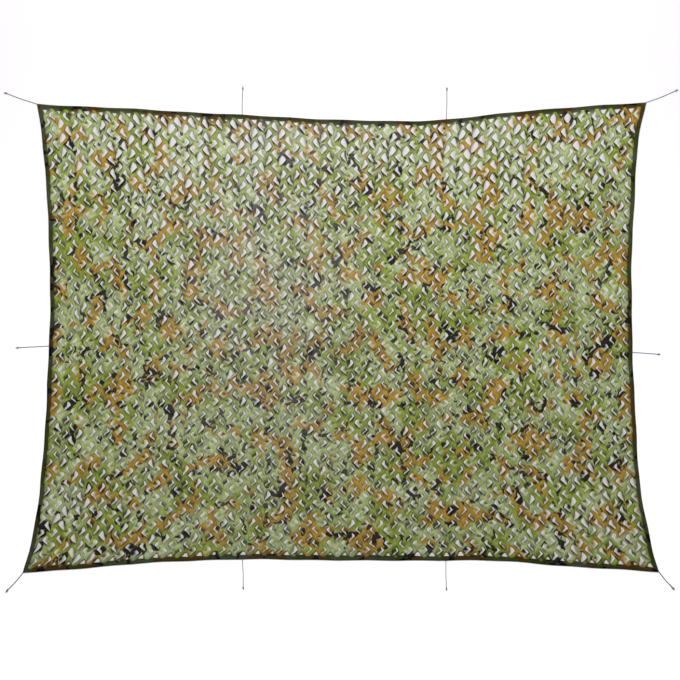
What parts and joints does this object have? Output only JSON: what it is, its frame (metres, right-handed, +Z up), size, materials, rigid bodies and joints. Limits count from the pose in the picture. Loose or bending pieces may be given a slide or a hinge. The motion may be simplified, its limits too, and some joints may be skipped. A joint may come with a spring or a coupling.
{
  "type": "camouflage net",
  "caption": "Woodland camouflage net of slit and opened cloth with a rolled hem and knotted tie cords, laid out flat with its corners drawn out.",
  "frame": {"origin": "centre of the net's footprint, on the surface it lies on, without its tie cords", "axes": "+X along the net's long sides, +Y along its short sides, +Z up out of the cloth"},
  "size_m": [4.3196, 3.2381, 0.0198],
  "materials": {
    "camo_cloth": "printed oxford weave, yellow-green, pale green, brown and near-black patches",
    "cord_olive": "three-strand twisted cord, dark olive",
    "cord_dark": "three-strand twisted cord, near black",
    "cord_grey": "three-strand twisted cord, dark grey"
  },
  "bodies": {
    "root": {"net": "camo_cloth", "tie_top_left": "cord_olive", "tie_top_right": "cord_olive", "tie_bottom_left": "cord_dark", "tie_bottom_right": "cord_dark", "tie_left": "cord_grey", "tie_right": "cord_grey", "tie_top_near_left": "cord_grey", "tie_top_near_right": "cord_grey", "tie_bottom_near_left": "cord_grey", "tie_bottom_near_right": "cord_grey", "knot_top_left": "cord_olive", "knot_top_right": "cord_olive", "knot_bottom_left": "cord_dark", "knot_bottom_right": "cord_dark", "knot_left": "cord_grey", "knot_right": "cord_grey", "knot_top_near_left": "cord_grey", "knot_top_near_right": "cord_grey", "knot_bottom_near_left": "cord_grey", "knot_bottom_near_right": "cord_grey"}
  },
  "joints": []
}
